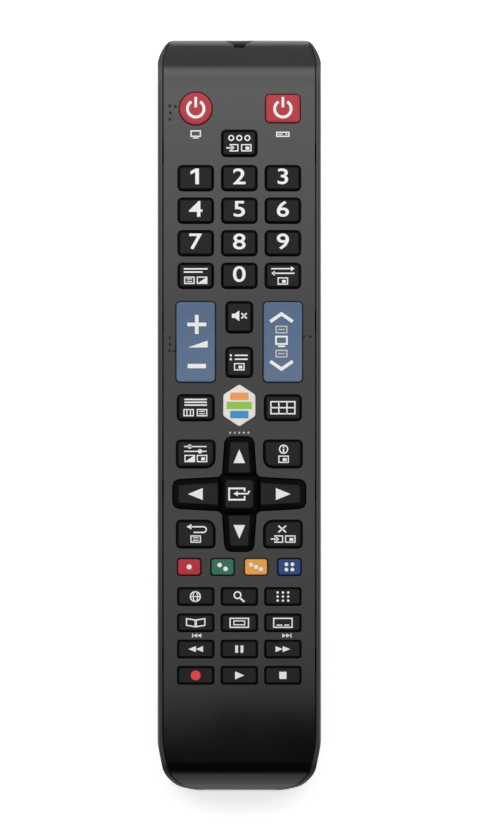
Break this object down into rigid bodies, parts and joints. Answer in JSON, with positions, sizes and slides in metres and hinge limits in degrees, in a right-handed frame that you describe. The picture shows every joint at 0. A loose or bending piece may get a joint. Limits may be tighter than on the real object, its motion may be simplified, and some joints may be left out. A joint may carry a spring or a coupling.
{
  "type": "universal remote control",
  "caption": "Hand-held infrared remote control: long grey casing, keypad with number, rocker, direction and coloured keys, and a sliding battery door.",
  "frame": {"origin": "on the flat back, in the middle of the casing's width and length", "axes": "+X across to the right of the keys, +Y along the casing to the head with the infrared window, +Z out of the keys"},
  "size_m": [0.0466, 0.214, 0.0207],
  "materials": {
    "cover_grey": "semi-gloss charcoal grey moulding",
    "shell_grey": "fine-textured dark grey moulding",
    "door_grey": "fine-textured dark grey moulding",
    "key_black": "satin black key",
    "key_power": "satin crimson key",
    "key_blue_grey": "satin blue-grey rocker",
    "key_red": "satin red key",
    "key_green": "satin green key",
    "key_orange": "satin orange key",
    "key_blue": "satin blue key",
    "key_hub": "white six-sided key",
    "mat_rubber": "black silicone rubber",
    "board_green": "glass-fibre board with green lacquer",
    "chip_black": "black moulded chip",
    "capacitor_can": "can with a dark sleeve",
    "led_clear": "clear emitter",
    "window_dark": "infrared-passing dark plastic",
    "cell_can": "plain wrapped cell",
    "spring_wire": "nickel-plated wire",
    "contact_plate": "nickel-plated sheet"
  },
  "bodies": {
    "casing": {"top_cover": "cover_grey", "rear_shell": "shell_grey", "keypad_mat": "mat_rubber", "circuit_board": "board_green", "controller_chip": "chip_black", "reservoir_capacitor": "capacitor_can", "infrared_led": "led_clear", "infrared_window": "window_dark", "battery_cells": "cell_can", "battery_springs": "spring_wire", "bridging_contact": "contact_plate", "terminal_plates": "contact_plate"},
    "battery_door": {"battery_door": "door_grey"},
    "volume_rocker": {"volume_rocker": "key_blue_grey"},
    "channel_rocker": {"channel_rocker": "key_blue_grey"},
    "power_key": {"power_key": "key_power"},
    "hub_key": {"hub_key": "key_hub"},
    "set_power_key": {"set_power_key": "key_power"},
    "source_key": {"source_key": "key_black"},
    "mute_key": {"mute_key": "key_black"},
    "channel_list_key": {"channel_list_key": "key_black"},
    "menu_key": {"menu_key": "key_black"},
    "guide_key": {"guide_key": "key_black"},
    "tools_key": {"tools_key": "key_black"},
    "info_key": {"info_key": "key_black"},
    "return_key": {"return_key": "key_black"},
    "exit_key": {"exit_key": "key_black"},
    "digit_1": {"digit_1": "key_black"},
    "digit_2": {"digit_2": "key_black"},
    "digit_3": {"digit_3": "key_black"},
    "digit_4": {"digit_4": "key_black"},
    "digit_5": {"digit_5": "key_black"},
    "digit_6": {"digit_6": "key_black"},
    "digit_7": {"digit_7": "key_black"},
    "digit_8": {"digit_8": "key_black"},
    "digit_9": {"digit_9": "key_black"},
    "text_key": {"text_key": "key_black"},
    "digit_0": {"digit_0": "key_black"},
    "last_channel_key": {"last_channel_key": "key_black"},
    "red_key": {"red_key": "key_red"},
    "green_key": {"green_key": "key_green"},
    "yellow_key": {"yellow_key": "key_orange"},
    "blue_key": {"blue_key": "key_blue"},
    "internet_key": {"internet_key": "key_black"},
    "search_key": {"search_key": "key_black"},
    "keypad_key": {"keypad_key": "key_black"},
    "manual_key": {"manual_key": "key_black"},
    "picture_size_key": {"picture_size_key": "key_black"},
    "subtitle_key": {"subtitle_key": "key_black"},
    "rewind_key": {"rewind_key": "key_black"},
    "pause_key": {"pause_key": "key_black"},
    "forward_key": {"forward_key": "key_black"},
    "record_key": {"record_key": "key_black"},
    "play_key": {"play_key": "key_black"},
    "stop_key": {"stop_key": "key_black"},
    "right_key": {"right_key": "key_black"},
    "up_key": {"up_key": "key_black"},
    "left_key": {"left_key": "key_black"},
    "down_key": {"down_key": "key_black"},
    "enter_key": {"enter_key": "key_black"}
  },
  "joints": [
    {"name": "door_slide", "type": "slide", "parent": "casing", "child": "battery_door", "axis": [0, -1, 0], "range_m": [0, 0.064]},
    {"name": "volume_rocker_tilt", "type": "hinge", "parent": "casing", "child": "volume_rocker", "pos_m": [-0.0124, 0.02074, 0.01555], "axis": [1, 0, 0], "range_deg": [-2, 2], "stiffness_Nm_per_rad": 0.3},
    {"name": "channel_rocker_tilt", "type": "hinge", "parent": "casing", "child": "channel_rocker", "pos_m": [0.0124, 0.02074, 0.01555], "axis": [1, 0, 0], "range_deg": [-2, 2], "stiffness_Nm_per_rad": 0.3},
    {"name": "power_key_press", "type": "slide", "parent": "casing", "child": "power_key", "axis": [0, 0, -1], "range_m": [0, 0.0007], "stiffness_N_per_m": 1200},
    {"name": "hub_key_press", "type": "slide", "parent": "casing", "child": "hub_key", "axis": [0, 0, -1], "range_m": [0, 0.0007], "stiffness_N_per_m": 1200},
    {"name": "set_power_key_press", "type": "slide", "parent": "casing", "child": "set_power_key", "axis": [0, 0, -1], "range_m": [0, 0.0007], "stiffness_N_per_m": 1200},
    {"name": "source_key_press", "type": "slide", "parent": "casing", "child": "source_key", "axis": [0, 0, -1], "range_m": [0, 0.0007], "stiffness_N_per_m": 1200},
    {"name": "mute_key_press", "type": "slide", "parent": "casing", "child": "mute_key", "axis": [0, 0, -1], "range_m": [0, 0.0007], "stiffness_N_per_m": 1200},
    {"name": "channel_list_key_press", "type": "slide", "parent": "casing", "child": "channel_list_key", "axis": [0, 0, -1], "range_m": [0, 0.0007], "stiffness_N_per_m": 1200},
    {"name": "menu_key_press", "type": "slide", "parent": "casing", "child": "menu_key", "axis": [0, 0, -1], "range_m": [0, 0.0007], "stiffness_N_per_m": 1200},
    {"name": "guide_key_press", "type": "slide", "parent": "casing", "child": "guide_key", "axis": [0, 0, -1], "range_m": [0, 0.0007], "stiffness_N_per_m": 1200},
    {"name": "tools_key_press", "type": "slide", "parent": "casing", "child": "tools_key", "axis": [0, 0, -1], "range_m": [0, 0.0007], "stiffness_N_per_m": 1200},
    {"name": "info_key_press", "type": "slide", "parent": "casing", "child": "info_key", "axis": [0, 0, -1], "range_m": [0, 0.0007], "stiffness_N_per_m": 1200},
    {"name": "return_key_press", "type": "slide", "parent": "casing", "child": "return_key", "axis": [0, 0, -1], "range_m": [0, 0.0007], "stiffness_N_per_m": 1200},
    {"name": "exit_key_press", "type": "slide", "parent": "casing", "child": "exit_key", "axis": [0, 0, -1], "range_m": [0, 0.0007], "stiffness_N_per_m": 1200},
    {"name": "digit_1_press", "type": "slide", "parent": "casing", "child": "digit_1", "axis": [0, 0, -1], "range_m": [0, 0.0007], "stiffness_N_per_m": 1200},
    {"name": "digit_2_press", "type": "slide", "parent": "casing", "child": "digit_2", "axis": [0, 0, -1], "range_m": [0, 0.0007], "stiffness_N_per_m": 1200},
    {"name": "digit_3_press", "type": "slide", "parent": "casing", "child": "digit_3", "axis": [0, 0, -1], "range_m": [0, 0.0007], "stiffness_N_per_m": 1200},
    {"name": "digit_4_press", "type": "slide", "parent": "casing", "child": "digit_4", "axis": [0, 0, -1], "range_m": [0, 0.0007], "stiffness_N_per_m": 1200},
    {"name": "digit_5_press", "type": "slide", "parent": "casing", "child": "digit_5", "axis": [0, 0, -1], "range_m": [0, 0.0007], "stiffness_N_per_m": 1200},
    {"name": "digit_6_press", "type": "slide", "parent": "casing", "child": "digit_6", "axis": [0, 0, -1], "range_m": [0, 0.0007], "stiffness_N_per_m": 1200},
    {"name": "digit_7_press", "type": "slide", "parent": "casing", "child": "digit_7", "axis": [0, 0, -1], "range_m": [0, 0.0007], "stiffness_N_per_m": 1200},
    {"name": "digit_8_press", "type": "slide", "parent": "casing", "child": "digit_8", "axis": [0, 0, -1], "range_m": [0, 0.0007], "stiffness_N_per_m": 1200},
    {"name": "digit_9_press", "type": "slide", "parent": "casing", "child": "digit_9", "axis": [0, 0, -1], "range_m": [0, 0.0007], "stiffness_N_per_m": 1200},
    {"name": "text_key_press", "type": "slide", "parent": "casing", "child": "text_key", "axis": [0, 0, -1], "range_m": [0, 0.0007], "stiffness_N_per_m": 1200},
    {"name": "digit_0_press", "type": "slide", "parent": "casing", "child": "digit_0", "axis": [0, 0, -1], "range_m": [0, 0.0007], "stiffness_N_per_m": 1200},
    {"name": "last_channel_key_press", "type": "slide", "parent": "casing", "child": "last_channel_key", "axis": [0, 0, -1], "range_m": [0, 0.0007], "stiffness_N_per_m": 1200},
    {"name": "red_key_press", "type": "slide", "parent": "casing", "child": "red_key", "axis": [0, 0, -1], "range_m": [0, 0.0007], "stiffness_N_per_m": 1200},
    {"name": "green_key_press", "type": "slide", "parent": "casing", "child": "green_key", "axis": [0, 0, -1], "range_m": [0, 0.0007], "stiffness_N_per_m": 1200},
    {"name": "yellow_key_press", "type": "slide", "parent": "casing", "child": "yellow_key", "axis": [0, 0, -1], "range_m": [0, 0.0007], "stiffness_N_per_m": 1200},
    {"name": "blue_key_press", "type": "slide", "parent": "casing", "child": "blue_key", "axis": [0, 0, -1], "range_m": [0, 0.0007], "stiffness_N_per_m": 1200},
    {"name": "internet_key_press", "type": "slide", "parent": "casing", "child": "internet_key", "axis": [0, 0, -1], "range_m": [0, 0.0007], "stiffness_N_per_m": 1200},
    {"name": "search_key_press", "type": "slide", "parent": "casing", "child": "search_key", "axis": [0, 0, -1], "range_m": [0, 0.0007], "stiffness_N_per_m": 1200},
    {"name": "keypad_key_press", "type": "slide", "parent": "casing", "child": "keypad_key", "axis": [0, 0, -1], "range_m": [0, 0.0007], "stiffness_N_per_m": 1200},
    {"name": "manual_key_press", "type": "slide", "parent": "casing", "child": "manual_key", "axis": [0, 0, -1], "range_m": [0, 0.0007], "stiffness_N_per_m": 1200},
    {"name": "picture_size_key_press", "type": "slide", "parent": "casing", "child": "picture_size_key", "axis": [0, 0, -1], "range_m": [0, 0.0007], "stiffness_N_per_m": 1200},
    {"name": "subtitle_key_press", "type": "slide", "parent": "casing", "child": "subtitle_key", "axis": [0, 0, -1], "range_m": [0, 0.0007], "stiffness_N_per_m": 1200},
    {"name": "rewind_key_press", "type": "slide", "parent": "casing", "child": "rewind_key", "axis": [0, 0, -1], "range_m": [0, 0.0007], "stiffness_N_per_m": 1200},
    {"name": "pause_key_press", "type": "slide", "parent": "casing", "child": "pause_key", "axis": [0, 0, -1], "range_m": [0, 0.0007], "stiffness_N_per_m": 1200},
    {"name": "forward_key_press", "type": "slide", "parent": "casing", "child": "forward_key", "axis": [0, 0, -1], "range_m": [0, 0.0007], "stiffness_N_per_m": 1200},
    {"name": "record_key_press", "type": "slide", "parent": "casing", "child": "record_key", "axis": [0, 0, -1], "range_m": [0, 0.0007], "stiffness_N_per_m": 1200},
    {"name": "play_key_press", "type": "slide", "parent": "casing", "child": "play_key", "axis": [0, 0, -1], "range_m": [0, 0.0007], "stiffness_N_per_m": 1200},
    {"name": "stop_key_press", "type": "slide", "parent": "casing", "child": "stop_key", "axis": [0, 0, -1], "range_m": [0, 0.0007], "stiffness_N_per_m": 1200},
    {"name": "right_key_press", "type": "slide", "parent": "casing", "child": "right_key", "axis": [0, 0, -1], "range_m": [0, 0.0007], "stiffness_N_per_m": 1200},
    {"name": "up_key_press", "type": "slide", "parent": "casing", "child": "up_key", "axis": [0, 0, -1], "range_m": [0, 0.0007], "stiffness_N_per_m": 1200},
    {"name": "left_key_press", "type": "slide", "parent": "casing", "child": "left_key", "axis": [0, 0, -1], "range_m": [0, 0.0007], "stiffness_N_per_m": 1200},
    {"name": "down_key_press", "type": "slide", "parent": "casing", "child": "down_key", "axis": [0, 0, -1], "range_m": [0, 0.0007], "stiffness_N_per_m": 1200},
    {"name": "enter_key_press", "type": "slide", "parent": "casing", "child": "enter_key", "axis": [0, 0, -1], "range_m": [0, 0.0007], "stiffness_N_per_m": 1200}
  ]
}
